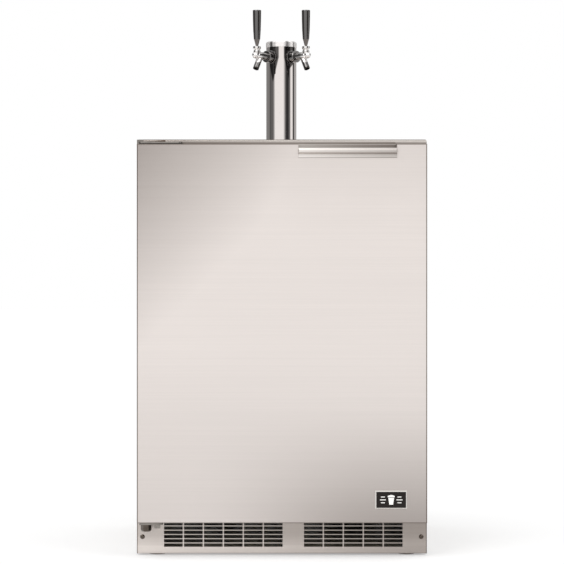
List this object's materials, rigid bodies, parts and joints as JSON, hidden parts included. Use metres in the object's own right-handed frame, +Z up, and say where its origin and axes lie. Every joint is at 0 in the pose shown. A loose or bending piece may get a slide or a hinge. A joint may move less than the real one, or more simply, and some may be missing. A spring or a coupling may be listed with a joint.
{
  "type": "kegerator",
  "caption": "Built-in stainless draught beer dispenser: insulated cabinet with a hinged door, slotted kick plate, and a round tower on top with angled taps and tapered handles.",
  "frame": {"origin": "centre of the footprint at floor level, on the axis of the tap tower", "axes": "+Z up, -Y towards a person facing the door, +X to that person's right"},
  "size_m": [0.6064, 0.637, 1.1634],
  "materials": {
    "stainless": "satin",
    "galvanised": "satin",
    "foam": "matte",
    "liner_plastic": "satin",
    "rubber_grey": "matte",
    "rubber_black": "matte",
    "chrome": "polished",
    "steel": "satin",
    "badge_dark": "gloss",
    "handle_black": "gloss",
    "machine_black": "satin",
    "fins": "satin",
    "fan_plastic": "matte",
    "copper": "satin",
    "brass": "satin",
    "cylinder_metal": "satin",
    "beer_tube": "gloss",
    "gas_tube": "gloss",
    "nylon": "matte"
  },
  "bodies": {
    "cabinet": {"base_frame": "galvanised", "cabinet_shell": "stainless", "top_panel": "stainless", "cabinet_insulation": "foam", "inner_liner": "stainless", "kick_plate": "stainless", "cabinet_screws": "steel", "top_hinge_bracket": "steel", "bottom_hinge_bracket": "steel", "hinge_pins": "steel", "compressor": "machine_black", "compressor_mounts": "rubber_black", "condenser_coil": "fins", "condenser_fan_frame": "fan_plastic", "rear_cover": "galvanised", "power_cord": "rubber_black", "evaporator_coil": "fins", "evaporator_cover": "liner_plastic", "refrigerant_lines": "copper", "gas_cylinder": "cylinder_metal", "cylinder_valve": "brass", "regulator": "brass", "pressure_gauges": "chrome", "gas_lines": "gas_tube", "coupler_bodies": "chrome", "beer_lines": "beer_tube", "tower_column": "chrome", "tower_cap": "chrome", "faucet_shanks": "chrome", "coupling_nuts": "chrome", "faucet_bodies": "chrome", "faucet_bonnets": "chrome"},
    "door": {"door_skin": "stainless", "door_insulation": "foam", "door_liner": "liner_plastic", "door_gasket": "rubber_grey", "door_handle": "stainless", "badge": "badge_dark", "hinge_bushes": "nylon"},
    "left_tap": {"left_tap_lever": "chrome", "left_tap_handle": "handle_black"},
    "right_tap": {"right_tap_lever": "chrome", "right_tap_handle": "handle_black"},
    "left_valve": {"left_valve_shaft": "steel"},
    "right_valve": {"right_valve_shaft": "steel"},
    "left_coupler_lever": {"left_coupler_handle": "handle_black"},
    "right_coupler_lever": {"right_coupler_handle": "handle_black"},
    "left_probe": {"left_coupler_probe": "chrome"},
    "right_probe": {"right_coupler_probe": "chrome"},
    "condenser_fan": {"condenser_fan_blades": "fan_plastic"},
    "evaporator_fan": {"evaporator_fan_blades": "fan_plastic"},
    "handwheel": {"cylinder_handwheel": "handle_black"},
    "pressure_knob": {"regulator_knob": "handle_black"},
    "thermostat": {"temperature_knob": "handle_black"},
    "front_left_leveller": {"front_left_foot": "rubber_black"},
    "front_right_leveller": {"front_right_foot": "rubber_black"},
    "rear_left_leveller": {"rear_left_foot": "rubber_black"},
    "rear_right_leveller": {"rear_right_foot": "rubber_black"},
    "tray": {"drip_tray": "stainless", "drip_grid": "stainless"}
  },
  "joints": [
    {"name": "door_hinge", "type": "hinge", "parent": "cabinet", "child": "door", "pos_m": [-0.282, -0.2845, 0.465], "axis": [0, 0, -1], "range_deg": [0, 110]},
    {"name": "left_tap_pull", "type": "hinge", "parent": "cabinet", "child": "left_tap", "pos_m": [-0.05329, -0.06351, 1.079], "axis": [0.766, -0.6428, 0], "range_deg": [0, 28]},
    {"name": "left_valve_slide", "type": "slide", "parent": "cabinet", "child": "left_valve", "axis": [0.6428, 0.766, 0], "range_m": [0, 0.007]},
    {"name": "left_coupler_push", "type": "hinge", "parent": "cabinet", "child": "left_coupler_lever", "pos_m": [-0.122, -0.036, 0.762], "axis": [1, 0, 0], "range_deg": [0, 30]},
    {"name": "left_probe_slide", "type": "slide", "parent": "cabinet", "child": "left_probe", "axis": [0, 0, -1], "range_m": [0, 0.014]},
    {"name": "right_tap_pull", "type": "hinge", "parent": "cabinet", "child": "right_tap", "pos_m": [0.05329, -0.06351, 1.079], "axis": [0.766, 0.6428, 0], "range_deg": [0, 28]},
    {"name": "right_valve_slide", "type": "slide", "parent": "cabinet", "child": "right_valve", "axis": [-0.6428, 0.766, 0], "range_m": [0, 0.007]},
    {"name": "right_coupler_push", "type": "hinge", "parent": "cabinet", "child": "right_coupler_lever", "pos_m": [0.122, -0.036, 0.762], "axis": [1, 0, 0], "range_deg": [0, 30]},
    {"name": "right_probe_slide", "type": "slide", "parent": "cabinet", "child": "right_probe", "axis": [0, 0, -1], "range_m": [0, 0.014]},
    {"name": "condenser_fan_spin", "type": "hinge", "parent": "cabinet", "child": "condenser_fan", "pos_m": [-0.124, 0.251, 0.066], "axis": [1, 0, 0], "continuous": true},
    {"name": "evaporator_fan_spin", "type": "hinge", "parent": "cabinet", "child": "evaporator_fan", "pos_m": [0.085, 0.2495, 0.65], "axis": [0, 1, 0], "continuous": true},
    {"name": "handwheel_turn", "type": "hinge", "parent": "cabinet", "child": "handwheel", "pos_m": [-0.19, 0.214, 0.69], "axis": [0, 0, 1], "range_deg": [0, 720]},
    {"name": "regulator_knob_turn", "type": "hinge", "parent": "cabinet", "child": "pressure_knob", "pos_m": [-0.19, 0.09, 0.662], "axis": [0, -1, 0], "range_deg": [0, 720]},
    {"name": "thermostat_turn", "type": "hinge", "parent": "cabinet", "child": "thermostat", "pos_m": [0.215, 0.225, 0.72], "axis": [0, 1, 0], "range_deg": [-135, 135]},
    {"name": "front_left_foot_screw", "type": "slide", "parent": "cabinet", "child": "front_left_leveller", "axis": [0, 0, -1], "range_m": [0, 0.02]},
    {"name": "front_right_foot_screw", "type": "slide", "parent": "cabinet", "child": "front_right_leveller", "axis": [0, 0, -1], "range_m": [0, 0.02]},
    {"name": "rear_left_foot_screw", "type": "slide", "parent": "cabinet", "child": "rear_left_leveller", "axis": [0, 0, -1], "range_m": [0, 0.02]},
    {"name": "rear_right_foot_screw", "type": "slide", "parent": "cabinet", "child": "rear_right_leveller", "axis": [0, 0, -1], "range_m": [0, 0.02]},
    {"name": "drip_tray_lift", "type": "slide", "parent": "cabinet", "child": "tray", "axis": [0, 0, 1], "range_m": [0, 0.05]}
  ],
  "couplings": [
    {"joint": "left_valve_slide", "follows": "left_tap_pull", "m_per_rad": 0.0135},
    {"joint": "left_probe_slide", "follows": "left_coupler_push", "m_per_rad": 0.02597},
    {"joint": "right_valve_slide", "follows": "right_tap_pull", "m_per_rad": 0.0135},
    {"joint": "right_probe_slide", "follows": "right_coupler_push", "m_per_rad": 0.02597}
  ]
}
